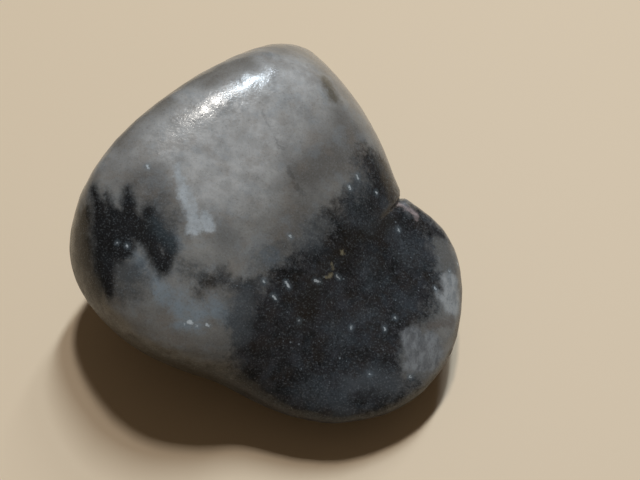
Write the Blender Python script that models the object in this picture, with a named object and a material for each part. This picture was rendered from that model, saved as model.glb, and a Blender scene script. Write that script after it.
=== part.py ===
"""A tumbled pebble of chiastolite-bearing stone, formed as one piece.

The stone has a large rounded-triangular lobe with a smooth top ridge and an end that
hangs clear of the ground, and a smaller, lower lobe.  A crease runs between the two
and ends in a sharp notch on the rim.  Each lobe is a block worn down from a set of
flat faces, and the two blocks are melted together.

Lengths are in millimetres up to the last step, which writes metres.
+Z is up, -Y is the side the crease opens to, and the stone rests on Z = 0.
"""
import math

import bmesh
import bpy
import numpy as np

NAME = "chiastolite_stone"
MM = 0.001

# Each face of a block: bearing in plan from +X, tilt above the horizon, distance out.
LARGE_LOBE_CENTRE = (-6.9, 2.2, 10.3)
LARGE_LOBE_HARDNESS = 5.6
LARGE_LOBE_CROWN = ((300.0, 70.0, 5.6), (322.0, 48.0, 7.7))
LARGE_LOBE_SHOULDERS = (
    (40.0, 40.0, 9.5),
    (85.0, 40.0, 17.9),
    (130.0, 40.0, 8.2),
    (175.0, 40.0, 12.0),
    (215.0, 40.0, 12.5),
    (255.0, 40.0, 19.4),
)
LARGE_LOBE_SIDES = (
    (10.0, 0.0, 13.2),
    (55.0, 0.0, 18.7),
    (100.0, 0.0, 20.0),
    (145.0, 0.0, 6.4),
    (190.0, 0.0, 15.0),
    (235.0, 0.0, 19.2),
    (280.0, 0.0, 20.0),
    (325.0, 0.0, 19.2),
)
LARGE_LOBE_UNDERSIDE = (
    (50.0, -38.0, 11.0),
    (100.0, -38.0, 15.5),
    (150.0, -38.0, 13.0),
    (200.0, -38.0, 15.1),
    (250.0, -38.0, 15.5),
    (310.0, -38.0, 17.3),
)
LARGE_LOBE_BASE = ((10.0, -90.0, 10.7),)

SMALL_LOBE_CENTRE = (2.7, -5.5, 4.5)
SMALL_LOBE_HARDNESS = 4.3
SMALL_LOBE_CROWN = ((310.0, 70.0, 3.5),)
SMALL_LOBE_SIDES = (
    (10.0, 10.0, 9.9),
    (55.0, 10.0, 12.7),
    (100.0, 10.0, 9.5),
    (145.0, 10.0, 8.8),
    (190.0, 10.0, 9.0),
    (235.0, 10.0, 10.5),
    (280.0, 10.0, 16.0),
    (325.0, 10.0, 13.8),
)
SMALL_LOBE_UNDERSIDE = ((0.0, -40.0, 8.5), (310.0, -40.0, 7.6), (260.0, -40.0, 8.2))
SMALL_LOBE_BASE = ((10.0, -90.0, 4.3),)

# The crease is sharp at the notch and fills out towards the front.
NOTCH_POINT = (5.4, 4.0)
CREASE_BEARING = 231.0
CREASE_LENGTH = 14.0
CREASE_FILLET_AT_NOTCH = 0.35
CREASE_FILLET_AT_FRONT = 2.7

HEART = (-2.2, -1.9, 5.5)
REST_PLANE_HEIGHT = 0.35
MESH_LEVEL = 5
SEARCH_REACH = 26.0
SEARCH_STEPS = 104
HALVINGS = 24
SETTLE_ROUNDS = 30
FINE_TURNS_DEGREES = (19.0, 19.0)
SHORTEST_FINE_EDGE = 0.4
TUMBLE_ROUNDS = 3
TUMBLE_LOSS = 0.992
NUDGE = 0.02

STONE_COLOUR = (0.165, 0.155, 0.145, 1.0)
STONE_ROUGHNESS = 0.22


def clear_scene():
    """Take away whatever the new scene starts with."""
    for thing in list(bpy.data.objects):
        bpy.data.objects.remove(thing, do_unlink=True)


def face_table(*groups):
    """Outward normals and distances of the faces of one block."""
    rows = []
    for group in groups:
        rows.extend(group)
    values = np.array(rows)
    bearing = np.radians(values[:, 0])
    tilt = np.radians(values[:, 1])
    normals = np.stack(
        [np.cos(tilt) * np.cos(bearing), np.cos(tilt) * np.sin(bearing), np.sin(tilt)],
        axis=1,
    )
    return normals, values[:, 2]


LARGE_FACES = face_table(
    LARGE_LOBE_CROWN,
    LARGE_LOBE_SHOULDERS,
    LARGE_LOBE_SIDES,
    LARGE_LOBE_UNDERSIDE,
    LARGE_LOBE_BASE,
)
SMALL_FACES = face_table(
    SMALL_LOBE_CROWN,
    SMALL_LOBE_SIDES,
    SMALL_LOBE_UNDERSIDE,
    SMALL_LOBE_BASE,
)


def worn_block(points, centre, faces, hardness, span):
    """Signed depth into a block whose edges have been worn round: below 0 inside."""
    normals, distances = faces
    reach = (points - np.array(centre)) @ normals.T / distances
    reach = np.maximum(reach, 1e-9)
    gauge = (reach ** hardness).sum(axis=-1) ** (1.0 / hardness)
    return (gauge - 1.0) * span


def both_lobes(points):
    """Signed depths into the large and the small lobe."""
    large = worn_block(points, LARGE_LOBE_CENTRE, LARGE_FACES, LARGE_LOBE_HARDNESS, 11.0)
    small = worn_block(points, SMALL_LOBE_CENTRE, SMALL_FACES, SMALL_LOBE_HARDNESS, 7.0)
    return large, small


def along_crease(points):
    """0 at the notch, 1 where the crease has faded out at the front."""
    bearing = math.radians(CREASE_BEARING)
    run = (points[..., 0] - NOTCH_POINT[0]) * math.cos(bearing)
    run = run + (points[..., 1] - NOTCH_POINT[1]) * math.sin(bearing)
    return np.clip(run / CREASE_LENGTH, 0.0, 1.0)


def stone_depth(points):
    """Signed depth into the whole stone: the two lobes melted together."""
    large, small = both_lobes(points)
    growth = CREASE_FILLET_AT_FRONT - CREASE_FILLET_AT_NOTCH
    fillet = CREASE_FILLET_AT_NOTCH + growth * along_crease(points)
    blend = np.maximum(fillet - np.abs(large - small), 0.0) / fillet
    return np.minimum(large, small) - blend * blend * fillet * 0.25


def out_to_skin(directions):
    """Points where rays from the heart of the stone leave it for the last time."""
    heart = np.array(HEART)
    steps = np.linspace(0.0, SEARCH_REACH, SEARCH_STEPS + 1)
    samples = heart + directions[:, None, :] * steps[None, :, None]
    inside = stone_depth(samples) < 0.0
    last = SEARCH_STEPS - np.argmax(inside[:, ::-1], axis=1)
    near = steps[last]
    far = steps[np.minimum(last + 1, SEARCH_STEPS)]
    for _ in range(HALVINGS):
        middle = (near + far) / 2.0
        is_in = stone_depth(heart + directions * middle[:, None]) < 0.0
        near = np.where(is_in, middle, near)
        far = np.where(is_in, far, middle)
    return heart + directions * near[:, None]


def unit_rows(vectors):
    """The same vectors, each of length 1."""
    return vectors / np.linalg.norm(vectors, axis=1)[:, None]


def depth_slope(points):
    """Gradient of the signed depth: it points straight out of the skin."""
    slope = np.zeros_like(points)
    for axis in range(3):
        step = np.zeros(3)
        step[axis] = NUDGE
        change = stone_depth(points + step) - stone_depth(points - step)
        slope[:, axis] = change / (2.0 * NUDGE)
    return slope


def onto_skin(points):
    """Points moved straight in or out until they lie on the skin."""
    for _ in range(3):
        slope = depth_slope(points)
        size = (slope * slope).sum(axis=1)
        points = points - slope * (stone_depth(points) / size)[:, None]
    return points


def mesh_rows(mesh):
    """Vertex places and edge ends of a bmesh as rows."""
    mesh.verts.index_update()
    places = np.array([tuple(vertex.co) for vertex in mesh.verts])
    ends = np.array([[vertex.index for vertex in edge.verts] for edge in mesh.edges])
    return places, ends


def place_vertices(mesh, places):
    """Put each vertex at its new place."""
    for vertex, place in zip(mesh.verts, places):
        vertex.co = place


def towards_neighbours(places, ends):
    """Each place moved halfway to the middle of its neighbours."""
    total = np.zeros_like(places)
    np.add.at(total, ends[:, 0], places[ends[:, 1]])
    np.add.at(total, ends[:, 1], places[ends[:, 0]])
    count = np.bincount(ends.ravel(), minlength=len(places))[:, None]
    return (places + total / count) / 2.0


def settle(mesh, rounds):
    """Even out the spacing of the vertices while they stay on the skin."""
    places, ends = mesh_rows(mesh)
    places = onto_skin(places)
    for _ in range(rounds):
        places = onto_skin(towards_neighbours(places, ends))
    place_vertices(mesh, places)


def tumble(mesh, rounds):
    """Take the last sharpness off the rims, and keep the size that this wears off."""
    places, ends = mesh_rows(mesh)
    for _ in range(rounds):
        places = towards_neighbours(places, ends)
    place_vertices(mesh, places / TUMBLE_LOSS)


def refine_bends(mesh, turn_degrees):
    """Split the edges over which the skin turns by more than the given angle."""
    places, ends = mesh_rows(mesh)
    normals = unit_rows(depth_slope(places))
    first = ends[:, 0]
    second = ends[:, 1]
    turn = (normals[first] * normals[second]).sum(axis=1)
    length = np.linalg.norm(places[first] - places[second], axis=1)
    bent = (turn < math.cos(math.radians(turn_degrees))) & (length > SHORTEST_FINE_EDGE)
    edges = [edge for edge, chosen in zip(mesh.edges, bent) if chosen]
    bmesh.ops.subdivide_edges(mesh, edges=edges, cuts=1, use_grid_fill=True)
    bmesh.ops.triangulate(mesh, faces=mesh.faces[:])


def cut_resting_face(mesh):
    """Slice off the lowest skin so that the stone rests on a small flat face."""
    everything = mesh.verts[:] + mesh.edges[:] + mesh.faces[:]
    bmesh.ops.bisect_plane(
        mesh,
        geom=everything,
        plane_co=(0.0, 0.0, REST_PLANE_HEIGHT),
        plane_no=(0.0, 0.0, 1.0),
        clear_inner=True,
    )
    rim = [edge for edge in mesh.edges if edge.is_boundary]
    bmesh.ops.holes_fill(mesh, edges=rim, sides=0)
    bmesh.ops.remove_doubles(mesh, verts=mesh.verts[:], dist=0.08)
    bmesh.ops.triangulate(mesh, faces=mesh.faces[:])


def build_stone_mesh():
    """The closed skin of the stone, finer where it bends, with a flat resting face."""
    mesh = bmesh.new()
    bmesh.ops.create_icosphere(mesh, subdivisions=MESH_LEVEL, radius=1.0)
    places, _ = mesh_rows(mesh)
    place_vertices(mesh, out_to_skin(unit_rows(places)))
    settle(mesh, SETTLE_ROUNDS)
    for turn_degrees in FINE_TURNS_DEGREES:
        refine_bends(mesh, turn_degrees)
        settle(mesh, 4)
    tumble(mesh, TUMBLE_ROUNDS)
    cut_resting_face(mesh)
    places, _ = mesh_rows(mesh)
    centre = (places.min(axis=0) + places.max(axis=0)) / 2.0
    centre[2] = REST_PLANE_HEIGHT
    place_vertices(mesh, (places - centre) * MM)
    bmesh.ops.recalc_face_normals(mesh, faces=mesh.faces[:])
    for face in mesh.faces:
        face.smooth = True
    return mesh


def stone_material():
    """Polished grey and black mineral."""
    material = bpy.data.materials.new("polished_stone")
    material.use_nodes = True
    shader = material.node_tree.nodes["Principled BSDF"]
    shader.inputs["Base Color"].default_value = STONE_COLOUR
    shader.inputs["Roughness"].default_value = STONE_ROUGHNESS
    shader.inputs["Metallic"].default_value = 0.0
    return material


def build_stone():
    """The stone as one object in its own collection."""
    collection = bpy.data.collections.new("chiastolite_pebble")
    bpy.context.scene.collection.children.link(collection)
    shape = build_stone_mesh()
    data = bpy.data.meshes.new(NAME)
    shape.to_mesh(data)
    shape.free()
    data.materials.append(stone_material())
    stone = bpy.data.objects.new(NAME, data)
    collection.objects.link(stone)
    return stone


clear_scene()
build_stone()
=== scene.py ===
"""Looks for the chiastolite pebble: a polished skin, its mineral pattern, and a small studio.

Lengths in the pattern and the wear are millimetres on the stone. Marks are placed in plan,
with +X along the stone's longest side, and a mark's height is found on the stone itself.
"""
import math

import bmesh
import bpy
import numpy as np
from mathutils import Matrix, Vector, noise
from mathutils.bvhtree import BVHTree


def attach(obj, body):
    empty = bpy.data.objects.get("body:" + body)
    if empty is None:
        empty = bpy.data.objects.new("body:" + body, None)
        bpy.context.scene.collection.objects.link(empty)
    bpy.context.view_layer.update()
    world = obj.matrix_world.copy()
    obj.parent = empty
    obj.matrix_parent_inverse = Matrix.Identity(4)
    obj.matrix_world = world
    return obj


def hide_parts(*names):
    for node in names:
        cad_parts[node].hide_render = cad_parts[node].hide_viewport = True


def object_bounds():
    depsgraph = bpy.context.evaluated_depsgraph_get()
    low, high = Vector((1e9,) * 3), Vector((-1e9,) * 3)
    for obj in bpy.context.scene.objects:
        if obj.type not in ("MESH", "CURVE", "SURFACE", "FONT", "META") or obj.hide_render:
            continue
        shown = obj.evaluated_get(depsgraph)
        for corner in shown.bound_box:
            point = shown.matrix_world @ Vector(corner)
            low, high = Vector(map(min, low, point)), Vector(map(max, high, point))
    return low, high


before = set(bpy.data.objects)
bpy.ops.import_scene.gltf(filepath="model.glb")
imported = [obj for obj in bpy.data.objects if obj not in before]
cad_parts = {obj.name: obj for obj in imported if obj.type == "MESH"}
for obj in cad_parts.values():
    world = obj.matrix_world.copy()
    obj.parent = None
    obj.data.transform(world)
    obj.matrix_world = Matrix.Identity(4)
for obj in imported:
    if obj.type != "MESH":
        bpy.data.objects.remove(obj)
cad_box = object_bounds()

NODE = "chiastolite_stone"
MM = 0.001

# ---------------------------------------------------------------- skin

SKIN_LEVELS = 2
SKIN_SMOOTHING = 12
SKIN_SMOOTHING_FACTOR = 0.5
WELD_DISTANCE = 1e-7

# The crease climbs the back of the stone to the notch in the rim, then crosses the top to the
# front. The first points are x y z, and the rest are places in plan on top of the stone.
CREASE_BACK = ((7.0, 4.3, 4.0), (8.2, 3.9, 6.0), (8.7, 3.4, 8.0))
CREASE_TOP = ((8.8, 2.3), (8.4, 1.0), (7.8, -0.2), (6.9, -1.7), (6.0, -3.1), (4.8, -4.6))

# The crease is full up to one point along its length, from 0 to 1, and faint from another.
# It is a groove between low shoulders, with a gritty band beside it.
CREASE_FULL_TO = 0.40
CREASE_FAINT_FROM = 0.64
CREASE_FAINTEST = 0.05
GROOVE_DEPTH = 0.38
GROOVE_WIDTH = 0.27
SHOULDER_HEIGHT = 0.22
SHOULDER_WIDTH = 1.5
GRIT_WIDTH = 1.1

# The wear: how far it stands in or out, how many swells fit in a millimetre, and how the
# grit's finer layers fade and shrink.
BROAD_HEIGHT = 0.05
BROAD_SCALE = 0.22
RIPPLE_HEIGHT = 0.012
RIPPLE_SCALE = 0.9
RIPPLE_SHIFT = Vector((7.0, 3.0, 1.0))
GRIT_HEIGHT = 0.05
GRIT_SCALE = 2.6
GRIT_FADING = 0.9
GRIT_STEP = 2.1
GRIT_LAYERS = 3

# Heights from which the top of the stone is looked for, in metres.
FAR_ABOVE = 1.0
MID_HEIGHT = 0.006


def joined_copy(node):
    """The CAD node's mesh as one closed bmesh."""
    mesh = bmesh.new()
    mesh.from_mesh(node.data)
    bmesh.ops.remove_doubles(mesh, verts=mesh.verts[:], dist=WELD_DISTANCE)
    return mesh


def top_finder(node):
    """A function from a place in plan, in mm, to the point on top of the stone there."""
    shape = joined_copy(node)
    tree = BVHTree.FromBMesh(shape)
    shape.free()
    down = Vector((0.0, 0.0, -1.0))

    def on_top(x, y):
        hit = tree.ray_cast(Vector((x * MM, y * MM, FAR_ABOVE)), down)[0]
        if hit is None:
            hit = tree.find_nearest(Vector((x * MM, y * MM, MID_HEIGHT)))[0]
        return hit / MM

    return on_top


def distance_to_line(points, line):
    """Distance from each point to a broken line, and how far along it lies from 0 to 1."""
    best = np.full(len(points), np.inf)
    along = np.zeros(len(points))
    last = len(line) - 1
    for index in range(last):
        start = line[index]
        span = line[index + 1] - start
        part = np.clip((points - start) @ span / (span @ span), 0.0, 1.0)
        gap = np.linalg.norm(points - start - part[:, None] * span, axis=1)
        along = np.where(gap < best, (index + part) / last, along)
        best = np.minimum(best, gap)
    return best, along


def wear(places, crease):
    """How far, in mm, each point of the skin stands in or out of the plain shape."""
    gap, along = distance_to_line(places, crease)
    fade = (CREASE_FAINT_FROM - along) / (CREASE_FAINT_FROM - CREASE_FULL_TO)
    depth = np.clip(fade, CREASE_FAINTEST, 1.0)
    groove = GROOVE_DEPTH * np.exp(-(gap / GROOVE_WIDTH) ** 2) * depth
    shoulders = SHOULDER_HEIGHT * np.exp(-(gap / SHOULDER_WIDTH) ** 2) * depth
    gritty = np.exp(-(gap / GRIT_WIDTH) ** 2) * depth
    swell = np.zeros(len(places))
    for index, place in enumerate(places):
        here = Vector(place)
        broad = noise.noise(here * BROAD_SCALE)
        ripple = noise.noise(here * RIPPLE_SCALE + RIPPLE_SHIFT)
        grit = noise.fractal(here * GRIT_SCALE, GRIT_FADING, GRIT_STEP, GRIT_LAYERS)
        swell[index] = BROAD_HEIGHT * broad + RIPPLE_HEIGHT * ripple
        swell[index] += GRIT_HEIGHT * grit * gritty[index]
    return swell + shoulders - groove


def finer_mesh(node):
    """The CAD node's shape as a finer, evened mesh."""
    shape = joined_copy(node)
    data = bpy.data.meshes.new("pebble_rough")
    shape.to_mesh(data)
    shape.free()
    rough = bpy.data.objects.new("pebble_rough", data)
    bpy.context.scene.collection.objects.link(rough)
    finer = rough.modifiers.new("finer", "SUBSURF")
    finer.levels = SKIN_LEVELS
    finer.render_levels = SKIN_LEVELS
    even = rough.modifiers.new("even", "SMOOTH")
    even.factor = SKIN_SMOOTHING_FACTOR
    even.iterations = SKIN_SMOOTHING
    graph = bpy.context.evaluated_depsgraph_get()
    fine = bpy.data.meshes.new_from_object(rough.evaluated_get(graph))
    bpy.data.objects.remove(rough)
    return fine


def polished_skin(node, on_top):
    """The stone's visible body: the CAD shape rounded finely, with its crease and wear."""
    data = finer_mesh(node)
    data.name = "pebble_skin"
    places = np.empty(len(data.vertices) * 3)
    data.vertices.foreach_get("co", places)
    places = places.reshape(-1, 3) / MM
    normals = np.empty(len(data.vertices) * 3)
    data.vertex_normals.foreach_get("vector", normals)
    normals = normals.reshape(-1, 3)

    crease = np.array(CREASE_BACK + tuple(tuple(on_top(x, y)) for x, y in CREASE_TOP))
    places = places + normals * wear(places, crease)[:, None]
    low, high = (np.array(corner) / MM for corner in cad_box)
    places = np.clip(places, low, high)

    data.vertices.foreach_set("co", (places * MM).ravel())
    data.polygons.foreach_set("use_smooth", [True] * len(data.polygons))
    data.materials.clear()
    skin = bpy.data.objects.new("pebble_skin", data)
    bpy.context.scene.collection.objects.link(skin)
    return skin


# ---------------------------------------------------------------- shader maths


class Field:
    """A value that changes over the surface. Arithmetic on it adds the matching nodes."""

    def __init__(self, bench, socket):
        self.bench = bench
        self.socket = socket

    def __add__(self, other):
        return self.bench.math("ADD", self, other)

    __radd__ = __add__

    def __sub__(self, other):
        return self.bench.math("SUBTRACT", self, other)

    def __rsub__(self, other):
        return self.bench.math("SUBTRACT", other, self)

    def __mul__(self, other):
        return self.bench.math("MULTIPLY", self, other)

    __rmul__ = __mul__

    def __or__(self, other):
        """The smaller of two values. For distances to two marks, it joins the marks."""
        return self.bench.math("MINIMUM", self, other)

    def most(self, other):
        """The larger of two values."""
        return self.bench.math("MAXIMUM", self, other)


class Bench:
    """Where one material's nodes are put together."""

    def __init__(self, name):
        self.material = bpy.data.materials.new(name)
        self.material.use_nodes = True
        self.tree = self.material.node_tree
        self.tree.nodes.clear()

    def node(self, kind, settings=None, inputs=None, output=0):
        """One node: its settings first, then its sockets' values or links."""
        made = self.tree.nodes.new(kind)
        for name, value in (settings or {}).items():
            setattr(made, name, value)
        for name, value in (inputs or {}).items():
            if isinstance(value, Field):
                self.tree.links.new(value.socket, made.inputs[name])
            else:
                made.inputs[name].default_value = value
        return Field(self, made.outputs[output]) if made.outputs else None

    def finished(self, shader):
        """The material, with this shader as its surface."""
        self.node("ShaderNodeOutputMaterial", None, {"Surface": shader})
        return self.material

    def math(self, operation, first, second, third=None):
        """A Math node. A third value is for an operation that takes one, as MULTIPLY_ADD does."""
        inputs = {0: first, 1: second}
        if third is not None:
            inputs[2] = third
        return self.node("ShaderNodeMath", {"operation": operation}, inputs)

    def vector(self, operation, first, second, output="Vector"):
        """A Vector Math node, on two vectors, or on a vector and a number for SCALE."""
        inputs = {0: first, 3 if operation == "SCALE" else 1: second}
        return self.node("ShaderNodeVectorMath", {"operation": operation}, inputs, output)

    def noise(self, place, scale, detail, roughness, output=0):
        """A Noise Texture. Its scale is swells in a millimetre."""
        inputs = {"Vector": place, "Scale": scale, "Detail": detail, "Roughness": roughness}
        return self.node("ShaderNodeTexNoise", None, inputs, output)

    def between(self, value, low, high, start=0.0, end=1.0, smooth=True):
        """Start where value is under low, end where it is over high, and a ramp between."""
        settings = {"interpolation_type": "SMOOTHSTEP" if smooth else "LINEAR"}
        inputs = {"Value": value, 1: low, 2: high, 3: start, 4: end}
        return self.node("ShaderNodeMapRange", settings, inputs)

    def blend(self, amount, under, over):
        """Two colours mixed: under where amount is 0, over where it is 1."""
        settings = {"data_type": "RGBA", "blend_type": "MIX", "clamp_factor": True}
        inputs = {0: amount, 6: under, 7: over}
        return self.node("ShaderNodeMix", settings, inputs, 2)


def tone(red, green, blue):
    """A colour given as 0 to 255 on a screen, for use in a shader."""

    def linear(level):
        level = level / 255.0
        if level <= 0.04045:
            return level / 12.92
        return ((level + 0.055) / 1.055) ** 2.4

    return (linear(red), linear(green), linear(blue), 1.0)


# ---------------------------------------------------------------- where the marks lie

# Every mark is a set of tapered strokes: start x y, end x y, and the radius at each end, in mm.

# Grey quartz on the large lobe: its paler and duskier parts.
UPPER_FACE = (
    (-1.1, 3.8, 2.1, 4.2, 2.0, 1.5),
    (-11.3, -1.4, -9.4, 1.4, 1.1, 1.1),
    (-1.0, 6.9, 0.7, 6.0, 0.9, 0.9),
)
PALE_CLOUD = (
    (-7.0, -0.3, -2.3, 2.5, 1.5, 2.3),
    (-4.9, -0.9, -2.3, 0.5, 2.0, 2.0),
    (-4.9, -2.7, -2.6, -1.6, 1.1, 1.4),
    (-1.8, 5.6, 0.4, 7.5, 1.1, 1.2),
    (-6.6, 2.3, -2.3, 6.3, 0.9, 0.9),
)
DUSK = (
    (-8.4, -3.5, -6.8, -5.8, 1.1, 1.1),
    (1.8, 0.0, 3.9, 2.3, 1.1, 1.2),
    (4.1, 5.4, 6.2, 2.4, 0.8, 0.9),
    (2.2, -2.6, 1.2, -5.0, 1.1, 0.9),
)
LOWER_DUSK = (
    (-8.6, -10.4, -6.0, -11.9, 1.1, 1.5),
    (-5.7, -12.0, -3.1, -12.8, 0.9, 0.7),
)
RIDGE_DUSK = (
    (-11.4, -0.3, -9.1, 3.4, 0.6, 0.8),
    (-9.0, 4.1, -5.2, 6.5, 0.8, 0.6),
    (-5.9, 5.0, -3.5, 7.6, 0.5, 0.5),
)

# White curds run down from the pale cloud, and milky spots lie below them.
CURDS = (
    (-6.6, -2.4, -5.7, -3.7, 0.30, 0.5),
    (-5.7, -3.8, -5.1, -4.7, 0.5, 0.5),
    (-5.0, -4.9, -4.8, -5.6, 0.5, 0.6),
    (-4.4, -4.6, -3.9, -5.3, 0.30, 0.5),
    (-5.1, -5.9, -4.8, -5.9, 0.30, 0.30),
    (-6.8, -1.8, -6.6, -2.3, 0.15, 0.23),
)
MILK = (
    (-8.6, -8.4, -7.9, -9.0, 0.5, 0.5),
    (-6.9, -9.7, -5.8, -10.6, 0.30, 0.4),
    (-5.0, -10.7, -3.1, -11.0, 0.5, 0.5),
    (-4.5, -12.0, -3.7, -11.9, 0.4, 0.4),
    (0.2, -6.3, 0.7, -6.3, 0.30, 0.30),
    (-5.9, -6.8, -5.6, -7.4, 0.19, 0.19),
    (-2.8, -10.5, -1.3, -10.7, 0.5, 0.5),
)

# A near-black smoulder at the hanging end, and a brown stain by the top.
SMOULDER = (
    (-12.9, -5.5, -12.3, -8.5, 0.6, 0.8),
    (-12.0, -8.7, -10.9, -10.4, 0.6, 0.5),
    (-13.4, -6.1, -13.1, -8.0, 0.5, 0.5),
    (-12.7, -8.6, -11.6, -10.1, 0.5, 0.5),
)
TOP_STAIN = (
    (2.2, 8.2, 3.0, 6.9, 0.5, 0.4),
)

# Black mineral: the mass in the small lobe, its arm to the notch, and its grey halo.
BLACK_MASS = (
    (8.6, 1.0, 7.5, -1.0, 0.8, 1.1),
    (7.2, -1.0, 5.6, -3.4, 1.2, 1.2),
    (5.7, -3.5, 3.6, -5.7, 1.2, 1.1),
    (3.5, -5.9, 2.0, -7.8, 1.1, 1.1),
    (1.9, -8.3, 1.4, -10.9, 1.4, 1.7),
    (1.2, -11.3, 1.3, -12.7, 1.9, 1.9),
    (3.2, -8.4, 3.9, -12.4, 2.6, 2.6),
    (6.3, -5.1, 7.1, -11.6, 2.9, 2.7),
    (8.9, -2.1, 9.3, -5.3, 2.6, 2.6),
    (9.9, 0.2, 10.9, -3.7, 1.4, 1.5),
    (8.7, -6.9, 8.9, -11.5, 2.0, 1.8),
    (11.3, 0.8, 12.3, -3.5, 0.30, 0.5),
    (10.8, -11.5, 11.9, -10.4, 0.4, 0.23),
    (0.2, -12.0, 0.2, -13.1, 0.8, 0.7),
)
NOTCH_BLACK = (
    (6.5, 3.1, 7.9, 2.1, 0.7, 1.0),
    (6.9, 4.0, 8.1, 2.8, 0.7, 0.8),
    (7.6, 1.9, 6.8, -0.3, 0.9, 0.8),
    (8.3, 1.5, 7.6, -0.3, 0.7, 0.7),
    (5.7, -0.6, 4.9, -2.0, 0.5, 0.5),
    (8.5, 1.6, 7.7, -0.4, 0.5, 0.5),
    (10.1, 2.1, 11.9, 1.0, 0.5, 0.5),
)
HALO = (
    (4.3, -2.3, 3.5, -3.7, 0.9, 0.8),
    (5.8, 0.6, 5.3, -1.2, 0.8, 0.8),
    (0.4, -7.9, -0.4, -9.7, 0.8, 0.9),
    (-0.7, -10.4, -0.6, -12.3, 0.9, 0.9),
)

# The black flame on the large lobe, its haze and blue edge, and the dark patch beside it.
FLAME = (
    (-11.6, -5.4, -10.6, -8.9, 0.5, 0.8),
    (-10.5, -6.5, -9.7, -7.9, 1.1, 1.1),
    (-9.9, -4.0, -9.3, -6.4, 0.19, 0.8),
    (-9.1, -6.5, -7.7, -6.9, 0.9, 0.8),
    (-8.1, -5.5, -6.8, -6.9, 0.5, 0.6),
    (-6.9, -6.9, -6.2, -7.4, 0.6, 0.5),
    (-6.2, -7.6, -6.4, -8.7, 0.5, 0.5),
    (-7.7, -7.1, -6.7, -8.5, 0.6, 0.5),
    (-10.5, -8.9, -10.0, -10.7, 0.7, 0.4),
    (-11.7, -5.3, -12.6, -3.9, 0.34, 0.08),
    (-10.9, -5.7, -11.4, -4.5, 0.34, 0.08),
)
FLAME_HAZE = (
    (-10.1, -9.3, -8.3, -9.5, 1.1, 1.0),
    (-9.0, -10.5, -8.1, -10.6, 0.7, 0.6),
    (-8.1, -4.9, -6.2, -6.5, 0.7, 0.6),
    (-5.9, -8.3, -3.5, -8.8, 0.4, 0.30),
)
BLUE_EDGE = (
    (-7.5, -5.9, -6.4, -6.8, 0.4, 0.5),
    (-6.4, -6.9, -6.0, -7.6, 0.30, 0.23),
)
DARK_PATCH = (
    (-3.4, -9.1, -2.2, -8.4, 0.23, 0.4),
    (-2.4, -8.0, -2.2, -8.6, 0.19, 0.30),
    (-1.3, -8.6, 0.3, -8.8, 0.4, 0.6),
    (-3.7, -9.7, -3.7, -9.8, 0.12, 0.11),
)

# Thin dark veins beside the pale cloud.
VEINS = (
    (-1.7, 3.6, -0.9, 2.5, 0.02, 0.03),
    (-0.4, 1.9, 0.3, 1.2, 0.05, 0.05),
    (0.9, 0.2, 1.3, -0.4, 0.12, 0.09),
    (1.4, -0.7, 2.2, -1.3, 0.09, 0.12),
)

# Inside the black: brown painted shade along the crease, and blue-grey clouds and haze.
CREASE_SHADE = (
    (8.2, -0.3, 6.0, -2.7, 0.7, 0.6),
    (5.8, -3.0, 4.7, -5.1, 0.5, 0.4),
    (3.8, -6.9, 3.7, -8.9, 0.7, 0.6),
)
BLUE_CLOUDS = (
    (9.0, -0.7, 10.3, -1.5, 0.7, 0.8),
    (7.4, -3.7, 7.8, -4.5, 0.6, 0.5),
    (10.5, -5.0, 10.6, -5.3, 0.5, 0.4),
    (5.8, -8.7, 6.4, -9.2, 0.5, 0.5),
    (7.3, -7.3, 8.2, -6.7, 0.4, 0.4),
    (4.6, -13.0, 7.1, -12.4, 0.4, 0.5),
    (-0.9, -9.4, -0.8, -11.2, 0.7, 0.6),
    (5.7, 2.0, 6.0, 0.0, 0.5, 0.5),
    (5.6, -1.0, 7.2, -0.9, 0.5, 0.5),
)
BLUE_HAZE = (
    (7.6, -11.8, 10.4, -10.8, 0.6, 0.8),
    (-0.9, -9.3, -0.6, -11.4, 0.5, 0.6),
    (-0.2, -6.7, 0.5, -6.1, 0.30, 0.30),
    (2.7, -4.5, 3.3, -3.9, 0.30, 0.30),
    (5.6, 1.8, 6.1, 1.2, 0.30, 0.30),
    (6.9, -13.6, 7.8, -13.5, 0.30, 0.30),
)

# Pale quartz on the small lobe's rim, and its dimmer parts.
RIM_PALE = (
    (13.4, -2.4, 13.8, -4.0, 0.8, 0.9),
    (12.8, -3.8, 13.3, -3.9, 0.4, 0.5),
)
RIM_GREY = (
    (11.3, -7.5, 12.0, -8.9, 0.9, 0.9),
    (12.6, -7.4, 13.0, -8.0, 0.9, 0.9),
    (11.3, -9.4, 13.3, -8.7, 0.5, 0.4),
)
DIM_RIM = (
    (12.2, 0.1, 13.3, -1.1, 0.6, 0.8),
)
RIM_STAIN = (
    (12.4, -6.2, 13.9, -5.2, 0.23, 0.30),
)

# Small coloured spots by the notch and in the black.
PINK = (
    (8.9, 2.1, 9.3, 1.9, 0.23, 0.26),
    (9.7, 1.9, 10.1, 1.7, 0.23, 0.19),
)
OCHRE = (
    (5.5, -3.7, 5.5, -3.8, 0.14, 0.12),
    (4.7, -5.8, 5.0, -5.4, 0.09, 0.11),
    (4.9, -4.9, 4.9, -5.0, 0.09, 0.08),
)

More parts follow.
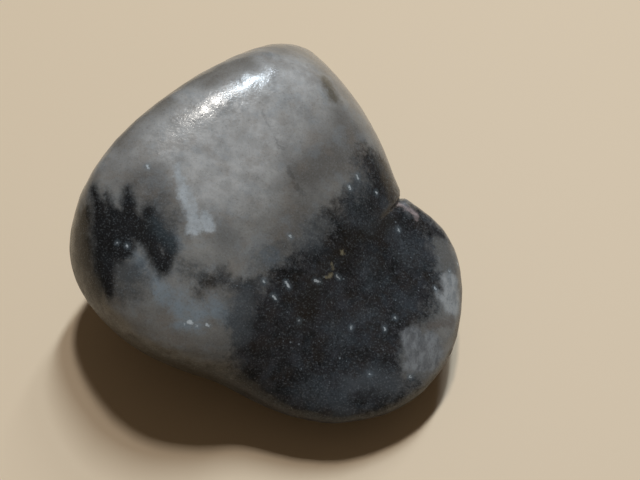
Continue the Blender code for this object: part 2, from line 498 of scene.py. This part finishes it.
# Bright flecks.
FLECKS = (
    (-4.03, -11.70, -3.87, -11.70, 0.14, 0.11),
    (-3.48, -11.80, -3.42, -11.80, 0.06, 0.04),
    (-2.83, -11.52, -2.67, -11.58, 0.07, 0.05),
    (-4.30, -11.90, -4.30, -11.90, 0.05, 0.03),
    (-8.86, -2.24, -8.74, -2.36, 0.07, 0.05),
    (-9.18, -7.82, -9.12, -7.88, 0.07, 0.04),
    (-9.90, -7.70, -9.90, -7.70, 0.04, 0.03),
    (1.74, -4.22, 1.86, -4.28, 0.04, 0.03),
    (2.01, -7.19, 2.29, -7.41, 0.06, 0.04),
    (1.29, -8.34, 1.51, -8.46, 0.06, 0.03),
    (3.93, -6.28, 4.27, -6.22, 0.04, 0.03),
    (0.52, -7.64, 0.58, -7.76, 0.05, 0.03),
    (5.64, 1.61, 5.76, 1.39, 0.06, 0.03),
    (5.24, 0.56, 5.36, 0.44, 0.07, 0.05),
    (7.12, 1.28, 7.18, 1.22, 0.06, 0.04),
    (9.02, -0.04, 9.08, -0.16, 0.06, 0.04),
    (3.30, -9.02, 3.30, -9.08, 0.04, 0.03),
    (6.90, -8.04, 6.90, -8.16, 0.06, 0.03),
    (9.22, -7.37, 9.28, -7.53, 0.05, 0.03),
    (9.82, -6.42, 9.88, -6.48, 0.05, 0.03),
    (8.72, -10.80, 8.78, -10.80, 0.04, 0.03),
    (11.54, -10.10, 11.66, -10.10, 0.04, 0.03),
    (9.12, 2.26, 9.18, 2.14, 0.06, 0.03),
    (13.20, -1.62, 13.20, -1.68, 0.05, 0.03),
    (5.37, -5.32, 5.53, -5.38, 0.04, 0.03),
    (12.34, -3.34, 12.46, -3.46, 0.04, 0.03),
    (13.64, -0.47, 13.76, -0.63, 0.04, 0.03),
)


# ---------------------------------------------------------------- mineral pattern

MIDDLE_GREY = (0.5, 0.5, 0.5)
SHORTEST_STROKE = 0.01
GRAIN_CORE = 0.35
UP_WAY = (0.0, 0.0, 1.0)
REAR_WAY = (-0.25, 0.8, -0.55)

# How much height counts for each kind of mark. Less than 1 lets it run down into the stone.
WHOLE_DEPTH = 1.0
MASS_DEPTH = 0.3
FLAME_DEPTH = 0.7
SMOULDER_DEPTH = 0.6

DIMPLE_DEPTH = 0.06 * MM


def strokes(bench, place, marks, on_top, depth=WHOLE_DEPTH):
    """Distance outside a set of tapered strokes on the stone, below zero inside them.

    A depth under 1 counts height for less, so that a mark runs down into the stone.
    """
    flat = (1.0, 1.0, depth)
    place = bench.vector("MULTIPLY", place, flat)
    nearest = None
    for start_x, start_y, end_x, end_y, start_radius, end_radius in marks:
        start = on_top(start_x, start_y) * Vector(flat)
        span = on_top(end_x, end_y) * Vector(flat) - start
        span = span if span.length > SHORTEST_STROKE else Vector((SHORTEST_STROKE, 0.0, 0.0))
        per_length = span / span.length_squared
        from_start = bench.vector("SUBTRACT", place, tuple(start))
        dot = bench.vector("DOT_PRODUCT", from_start, tuple(per_length), "Value")
        part = bench.node("ShaderNodeClamp", None, {"Value": dot})
        along = bench.vector("SCALE", tuple(span), part)
        gap = bench.vector("DISTANCE", from_start, along, "Value")
        radius = bench.math("MULTIPLY_ADD", part, end_radius - start_radius, start_radius)
        distance = gap - radius
        nearest = distance if nearest is None else nearest | distance
    return nearest


def sparks(bench, place, scale, chance, size):
    """Small bright grains: one cell in a few has a grain, and each is its own strength."""
    inputs = {"Vector": place, "Scale": scale, "Randomness": 1.0}
    distance = bench.node("ShaderNodeTexVoronoi", None, inputs, "Distance")
    draw = bench.node("ShaderNodeTexVoronoi", None, inputs, "Color")
    luck = bench.vector("DOT_PRODUCT", draw, (1.0, 0.0, 0.0), "Value")
    strength = bench.between(luck, 1.0 - chance, 1.0, 0.0, 1.0, smooth=False)
    spot = bench.between(distance, size * GRAIN_CORE, size, 1.0, 0.0)
    return strength * spot


class Pattern:
    """What the stone's layers share: the place on the stone, its noises, and its marks.

    A mark is measured from a place that noise has pushed about a little, which makes its
    edges soft, crisp, ragged or otherwise uneven. These places are kept by name.
    """

    def __init__(self, bench, on_top):
        self.bench = bench
        self.on_top = on_top
        here = bench.node("ShaderNodeTexCoord", output="Object")
        self.place = bench.vector("SCALE", here, 1.0 / MM)
        drift = self.swirl(0.45, 2.0, 0.5)
        jitter = self.swirl(2.3, 3.0, 0.6)
        shiver = self.swirl(7.0, 2.0, 0.6)
        soft = self.pushed(self.place, drift, 1.8)
        self.places = {
            "soft": soft,
            "crisp": self.pushed(self.place, jitter, 0.75),
            "shivered": self.pushed(self.place, shiver, 0.34),
            "flickering": self.pushed(self.place, jitter, 0.45),
            "ragged": self.pushed(soft, jitter, 1.1),
        }
        self.clouding = bench.noise(self.place, 0.28, 5.0, 0.6)
        self.patches = bench.noise(self.place, 0.95, 6.0, 0.66) - 0.5
        self.crumbs = bench.noise(self.place, 4.2, 4.0, 0.7) - 0.5
        tint = bench.noise(self.place, 0.7, 4.0, 0.62, "Color")
        self.cool = bench.vector("DOT_PRODUCT", tint, (1.0, 0.0, 0.0), "Value")
        self.warm = bench.vector("DOT_PRODUCT", tint, (0.0, 1.0, 0.0), "Value")

    def swirl(self, scale, detail, roughness):
        """A push that varies over the stone, up to half a unit each way."""
        push = self.bench.noise(self.place, scale, detail, roughness, "Color")
        return self.bench.vector("SUBTRACT", push, MIDDLE_GREY)

    def pushed(self, place, swirl, reach):
        """The place moved by a swirl, times its reach in mm."""
        return self.bench.vector("ADD", place, self.bench.vector("SCALE", swirl, reach))

    def stretched(self, stretch, scale, detail, roughness):
        """Noise that is squeezed by a different amount along each axis."""
        place = self.bench.vector("MULTIPLY", self.place, stretch)
        return self.bench.noise(place, scale, detail, roughness)

    def facing(self, way):
        """How squarely the surface faces a way: 1 straight at it, and -1 straight away."""
        normal = self.bench.node("ShaderNodeTexCoord", output="Normal")
        return self.bench.vector("DOT_PRODUCT", normal, way, "Value")

    def marked(self, marks, where, edge, strength, rag=0.0, depth=WHOLE_DEPTH):
        """How much some strokes show: their strength inside, and nothing beyond their edge.

        The edge is the two distances, in mm, between which they fade, and rag is how far
        noise breaks it up.
        """
        distance = strokes(self.bench, self.places[where], marks, self.on_top, depth)
        if rag:
            distance = distance + (self.patches + self.crumbs * 0.5) * rag
        return self.bench.between(distance, *edge, strength, 0.0)

    def painted(self, under, marks, where, edge, strength, rag, over):
        """A colour with some strokes painted over it."""
        return self.bench.blend(self.marked(marks, where, edge, strength, rag), under, over)


# ---------------------------------------------------------------- layers of the stone


def quartz_colour(pattern):
    """Grey quartz, paler along the ridge and duskier towards the small lobe."""
    bench = pattern.bench
    cloudy = bench.between(pattern.clouding, 0.32, 0.68)
    colour = bench.blend(cloudy, tone(120, 119, 117), tone(146, 144, 140))
    for marks, where, edge, strength, rag, over in (
        (UPPER_FACE, "soft", (-1.5, 3.2), 0.62, 0.0, tone(163, 161, 159)),
        (PALE_CLOUD, "soft", (-1.6, 2.9), 0.95, 1.8, tone(193, 192, 191)),
        (DUSK, "soft", (-0.9, 1.3), 0.75, 1.2, tone(100, 96, 92)),
        (LOWER_DUSK, "soft", (-0.8, 1.5), 0.45, 2.4, tone(100, 99, 97)),
        (CURDS, "crisp", (-0.28, 0.24), 0.88, 1.1, tone(188, 194, 199)),
    ):
        colour = pattern.painted(colour, marks, where, edge, strength, rag, over)
    patchy = bench.between(pattern.patches, -0.16, 0.16, 0.0, 0.28)
    colour = bench.blend(patchy, colour, tone(96, 95, 94))
    cool = bench.between(pattern.cool, 0.5, 0.64, 0.0, 0.24)
    colour = bench.blend(cool, colour, tone(138, 146, 153))
    warm = bench.between(pattern.warm, 0.5, 0.64, 0.0, 0.24)
    colour = bench.blend(warm, colour, tone(132, 121, 110))
    return pattern.painted(
        colour, RIDGE_DUSK, "soft", (-0.6, 1.0), 0.75, 1.6, tone(106, 100, 92)
    )


def stained_and_shaded(pattern, colour, shaded_flank):
    """Painted shade on the flanks, a near-black smoulder at the hanging end, and milky spots."""
    # Painted shade: dark brown where the surface turns sideways or down.
    colour = pattern.bench.blend(shaded_flank, colour, tone(39, 33, 21))
    smoulder = pattern.marked(SMOULDER, "ragged", (-0.5, 1.1), 0.95, 1.6, SMOULDER_DEPTH)
    colour = pattern.bench.blend(smoulder, colour, tone(32, 28, 22))
    colour = pattern.painted(
        colour, MILK, "ragged", (-0.5, 0.55), 0.6, 1.4, tone(134, 150, 163)
    )
    return pattern.painted(
        colour, TOP_STAIN, "crisp", (-0.3, 0.5), 0.75, 1.2, tone(82, 74, 58)
    )


def black_masks(pattern):
    """How strongly the grey halo and the black show, and the distance to the flame.

    The mass fills the small lobe, the flame licks up the large one, and wisps lie behind.
    """
    bench = pattern.bench
    mass = strokes(bench, pattern.places["ragged"], BLACK_MASS, pattern.on_top, MASS_DEPTH)
    flame = strokes(bench, pattern.places["flickering"], FLAME, pattern.on_top, FLAME_DEPTH)
    rag = pattern.patches * 3.0 + pattern.crumbs * 1.3
    rear = bench.between(pattern.facing(REAR_WAY), 0.16, 0.42)
    wisps = pattern.stretched((1.0, 0.8, 1.7), 0.15, 5.0, 0.6)

    halo = bench.between(mass + rag * 0.8, -0.2, 2.6, 0.6, 0.0)
    halo = halo.most(pattern.marked(HALO, "ragged", (-0.6, 0.9), 0.75, 2.0))
    halo = halo.most(bench.between(flame + rag * 0.4, -0.1, 0.8, 0.6, 0.0))
    halo = halo.most(pattern.marked(FLAME_HAZE, "ragged", (-0.8, 0.9), 0.75, 2.4))
    halo = halo.most(bench.between(wisps, 0.44, 0.54, 0.0, 0.6) * rear)

    black = bench.between(mass + rag, -0.55, 0.85, 0.97, 0.0)
    black = black.most(bench.between(flame + rag * 0.25, -0.3, 0.35, 0.97, 0.0))
    black = black.most(pattern.marked(NOTCH_BLACK, "ragged", (-0.6, 0.9), 0.94, 2.4, MASS_DEPTH))
    black = black.most(pattern.marked(DARK_PATCH, "crisp", (-0.35, 0.7), 0.8, 1.4))
    ragged_wisps = wisps + pattern.crumbs * 0.06
    black = black.most(bench.between(ragged_wisps, 0.515, 0.56, 0.0, 0.95) * rear)
    black = black.most(pattern.marked(VEINS, "crisp", (-0.05, 0.16), 0.28, 0.5))
    return halo, black, flame


def black_colour(pattern, flame):
    """The black mineral: mottled, bruised blue and brown, deepest in the flame, with painted
    crease shade.
    """
    bench = pattern.bench
    mottle = bench.between(pattern.patches + pattern.crumbs + pattern.clouding, 0.2, 0.8)
    colour = bench.blend(mottle, tone(19, 20, 21), tone(52, 52, 56))
    bruises = bench.between(bench.noise(pattern.place, 0.5, 4.0, 0.62), 0.5, 0.68, 0.0, 0.55)
    colour = bench.blend(bruises, colour, tone(68, 71, 78))
    cool = bench.between(pattern.cool, 0.48, 0.62, 0.0, 0.4)
    colour = bench.blend(cool, colour, tone(50, 58, 65))
    warm = bench.between(pattern.warm, 0.48, 0.62, 0.0, 0.4)
    colour = bench.blend(warm, colour, tone(46, 39, 34))
    deepest = bench.between(flame, 0.0, 1.5, 0.75, 0.0)
    colour = bench.blend(deepest, colour, tone(20, 21, 23))
    # Painted shade, brown, along the crease line.
    colour = pattern.painted(
        colour, CREASE_SHADE, "soft", (-0.5, 0.7), 0.6, 1.0, tone(36, 31, 25)
    )
    clouds = pattern.marked(BLUE_CLOUDS, "ragged", (-0.7, 1.0), 0.5, 2.4)
    clouds = clouds * bench.between(pattern.crumbs, -0.14, 0.12, 0.35, 1.0)
    colour = bench.blend(clouds, colour, tone(80, 88, 95))
    return pattern.painted(
        colour, BLUE_EDGE, "crisp", (-0.4, 0.5), 0.6, 1.2, tone(64, 74, 80)
    )


def with_rim_and_spots(pattern, colour):
    """Pale quartz on the small lobe's rim, then the blue-grey haze and the coloured spots."""
    bench = pattern.bench
    streaks = pattern.stretched((1.5, 0.6, 1.0), 1.7, 5.0, 0.66)
    streaky = bench.between(streaks, 0.36, 0.64)
    grey = bench.blend(streaky, tone(104, 106, 109), tone(138, 141, 144))
    milkier = bench.between(streaks, 0.38, 0.62)
    milky = bench.blend(milkier, tone(138, 142, 145), tone(166, 169, 171))
    for marks, where, edge, strength, rag, over in (
        (DIM_RIM, "crisp", (-0.3, 0.3), 0.8, 0.8, tone(104, 103, 101)),
        (RIM_GREY, "crisp", (-0.3, 0.22), 0.85, 0.4, grey),
        (RIM_PALE, "crisp", (-0.4, 0.26), 0.92, 0.8, milky),
        (RIM_STAIN, "crisp", (-0.2, 0.3), 0.5, 0.8, tone(96, 86, 80)),
        (BLUE_HAZE, "ragged", (-0.5, 0.8), 0.6, 1.6, tone(84, 89, 94)),
        (PINK, "crisp", (-0.28, 0.26), 0.8, 0.9, tone(176, 160, 160)),
        (OCHRE, "crisp", (-0.12, 0.15), 0.8, 0.4, tone(142, 134, 110)),
    ):
        colour = pattern.painted(colour, marks, where, edge, strength, rag, over)
    return colour


def with_grains(pattern, colour, darkness, flame):
    """A sugary crystal look, a dusting of fine grains, and the bright flecks."""
    bench = pattern.bench
    sugar = bench.noise(pattern.place, 7.5, 2.0, 0.6)
    colour = bench.blend(
        bench.between(sugar, 0.5, 0.78, 0.0, 0.24), colour, tone(150, 158, 164)
    )
    colour = bench.blend(bench.between(sugar, 0.22, 0.48, 0.25, 0.0), colour, tone(30, 30, 32))
    grains = sparks(bench, pattern.place, 1.7, 0.16, 0.17)
    grains = grains.most(sparks(bench, pattern.place, 3.3, 0.14, 0.22))
    amount = (0.08 + 0.4 * darkness) * grains
    amount = amount * bench.between(flame, -0.3, 0.6, 0.4, 1.0)
    colour = bench.blend(amount, colour, tone(168, 180, 190))
    fleck = strokes(bench, pattern.places["shivered"], FLECKS, pattern.on_top)
    glow = bench.between(fleck, 0.0, 0.34, 0.3, 0.0)
    colour = bench.blend(glow, colour, tone(120, 134, 144))
    core = bench.between(fleck, -0.04, 0.07, 0.9, 0.0)
    return bench.blend(core, colour, tone(204, 212, 218))


def tumbled_polish(pattern, shaded_flank):
    """Roughness and normal of a tumbled polish: dimpled, with scuffs that dull it in places."""
    bench = pattern.bench
    scuffs = pattern.stretched((1.0, 2.6, 1.4), 3.4, 4.0, 0.7)
    roughness = bench.between(scuffs, 0.36, 0.66, 0.10, 0.27) + shaded_flank * 0.3
    dimples = bench.noise(pattern.place, 3.0, 3.0, 0.55) + 0.3 * scuffs
    inputs = {"Strength": 0.24, "Distance": DIMPLE_DEPTH, "Height": dimples}
    return roughness, bench.node("ShaderNodeBump", None, inputs)


def stone_material(on_top):
    """Translucent grey quartz with black mineral, clouds, stains, painted shade and bright
    flecks.
    """
    bench = Bench("polished_pebble")
    pattern = Pattern(bench, on_top)
    up = pattern.facing(UP_WAY)
    # Painted shade: the flanks and underside, which turn away from up, are darkened in dark
    # brown.
    shaded_flank = bench.between(up + pattern.patches * 0.7, 0.0, 0.5, 0.92, 0.0)
    colour = stained_and_shaded(pattern, quartz_colour(pattern), shaded_flank)
    halo, black, flame = black_masks(pattern)
    colour = bench.blend(halo, colour, tone(60, 64, 68))
    colour = bench.blend(black, colour, black_colour(pattern, flame))
    colour = with_rim_and_spots(pattern, colour)
    colour = with_grains(pattern, colour, black.most(halo * 0.6), flame)
    roughness, normal = tumbled_polish(pattern, shaded_flank)
    shader = bench.node(
        "ShaderNodeBsdfPrincipled",
        {"subsurface_method": "RANDOM_WALK"},
        {
            "Base Color": colour,
            "Roughness": roughness,
            "IOR": 1.54,
            "Specular IOR Level": 0.25,
            "Normal": normal,
            "Subsurface Weight": 0.12,
            "Subsurface Radius": (1.0, 0.85, 0.7),
            "Subsurface Scale": 0.0008,
            "Coat Weight": 0.08,
            "Coat Roughness": 0.08,
        },
    )
    return bench.finished(shader)


# ---------------------------------------------------------------- studio

CAMERA_AZIMUTH = 10.0
CAMERA_HEIGHT_ANGLE = 56.0
CAMERA_DISTANCE = 0.140
CAMERA_AIM = Vector((0.0032, 0.0, 0.0057))
CAMERA_LENS = 104.7
SENSOR_WIDTH = 36.0

# Softboxes: name, azimuth, height angle, width, depth, watts and colour.
LAMP_DISTANCE = 0.60
LAMPS = (
    ("back_lamp", 170.0, 63.0, 0.034, 0.15, 1.60, (0.78, 0.90, 1.0)),
    ("top_lamp", 183.0, 74.5, 0.04, 0.065, 0.95, (1.0, 0.95, 0.89)),
    ("low_lamp", 167.0, 47.0, 0.035, 0.14, 0.42, (0.80, 0.90, 1.0)),
)
ROOM_COLOUR = (1.0, 0.79, 0.57, 1.0)
ROOM_STRENGTH = 0.085
FLOOR_HALF_WIDTH = 1.5
FLOOR_COLOUR = tone(234, 211, 180)


def bearing_vector(azimuth, height_angle):
    """Unit vector from the stone: azimuth 0 is -Y, and 90 is +X."""
    turn = math.radians(azimuth)
    rise = math.radians(height_angle)
    return Vector(
        (math.sin(turn) * math.cos(rise), -math.cos(turn) * math.cos(rise), math.sin(rise))
    )


def make_camera():
    """The camera, looking down at the stone from its front."""
    data = bpy.data.cameras.new("camera")
    data.sensor_width = SENSOR_WIDTH
    data.lens = CAMERA_LENS
    data.clip_start = 0.005
    data.clip_end = 20.0
    camera = bpy.data.objects.new("camera", data)
    back = bearing_vector(CAMERA_AZIMUTH, CAMERA_HEIGHT_ANGLE)
    camera.location = CAMERA_AIM + back * CAMERA_DISTANCE
    camera.rotation_mode = "QUATERNION"
    camera.rotation_quaternion = (-back).to_track_quat("-Z", "Y")
    bpy.context.scene.collection.objects.link(camera)
    bpy.context.scene.camera = camera


def make_softbox(name, azimuth, height_angle, width, depth, watts, colour):
    """A rectangular lamp that faces the stone."""
    data = bpy.data.lights.new(name, "AREA")
    data.shape = "RECTANGLE"
    data.size = width
    data.size_y = depth
    data.energy = watts
    data.color = colour
    lamp = bpy.data.objects.new(name, data)
    out = bearing_vector(azimuth, height_angle)
    lamp.location = out * LAMP_DISTANCE
    lamp.rotation_mode = "QUATERNION"
    lamp.rotation_quaternion = out.to_track_quat("Z", "Y")
    bpy.context.scene.collection.objects.link(lamp)


def make_floor():
    """A plain pale table top."""
    bench = Bench("pale_table")
    inputs = {"Base Color": FLOOR_COLOUR, "Roughness": 0.6}
    shader = bench.node("ShaderNodeBsdfPrincipled", None, inputs)
    mesh = bmesh.new()
    bmesh.ops.create_grid(mesh, x_segments=1, y_segments=1, size=FLOOR_HALF_WIDTH)
    data = bpy.data.meshes.new("table_top")
    mesh.to_mesh(data)
    mesh.free()
    data.materials.append(bench.finished(shader))
    floor = bpy.data.objects.new("table_top", data)
    bpy.context.scene.collection.objects.link(floor)


def make_room_light():
    """Even light from all round."""
    world = bpy.data.worlds.new("room")
    bpy.context.scene.world = world
    world.use_nodes = True
    background = world.node_tree.nodes["Background"]
    background.inputs["Color"].default_value = ROOM_COLOUR
    background.inputs["Strength"].default_value = ROOM_STRENGTH


# ---------------------------------------------------------------- assembly

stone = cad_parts[NODE]
find_top = top_finder(stone)
skin = polished_skin(stone, find_top)
skin.data.materials.append(stone_material(find_top))
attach(skin, "root")
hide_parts(NODE)

make_floor()
make_room_light()
for lamp_settings in LAMPS:
    make_softbox(*lamp_settings)
make_camera()
bpy.context.scene.view_settings.view_transform = "Standard"
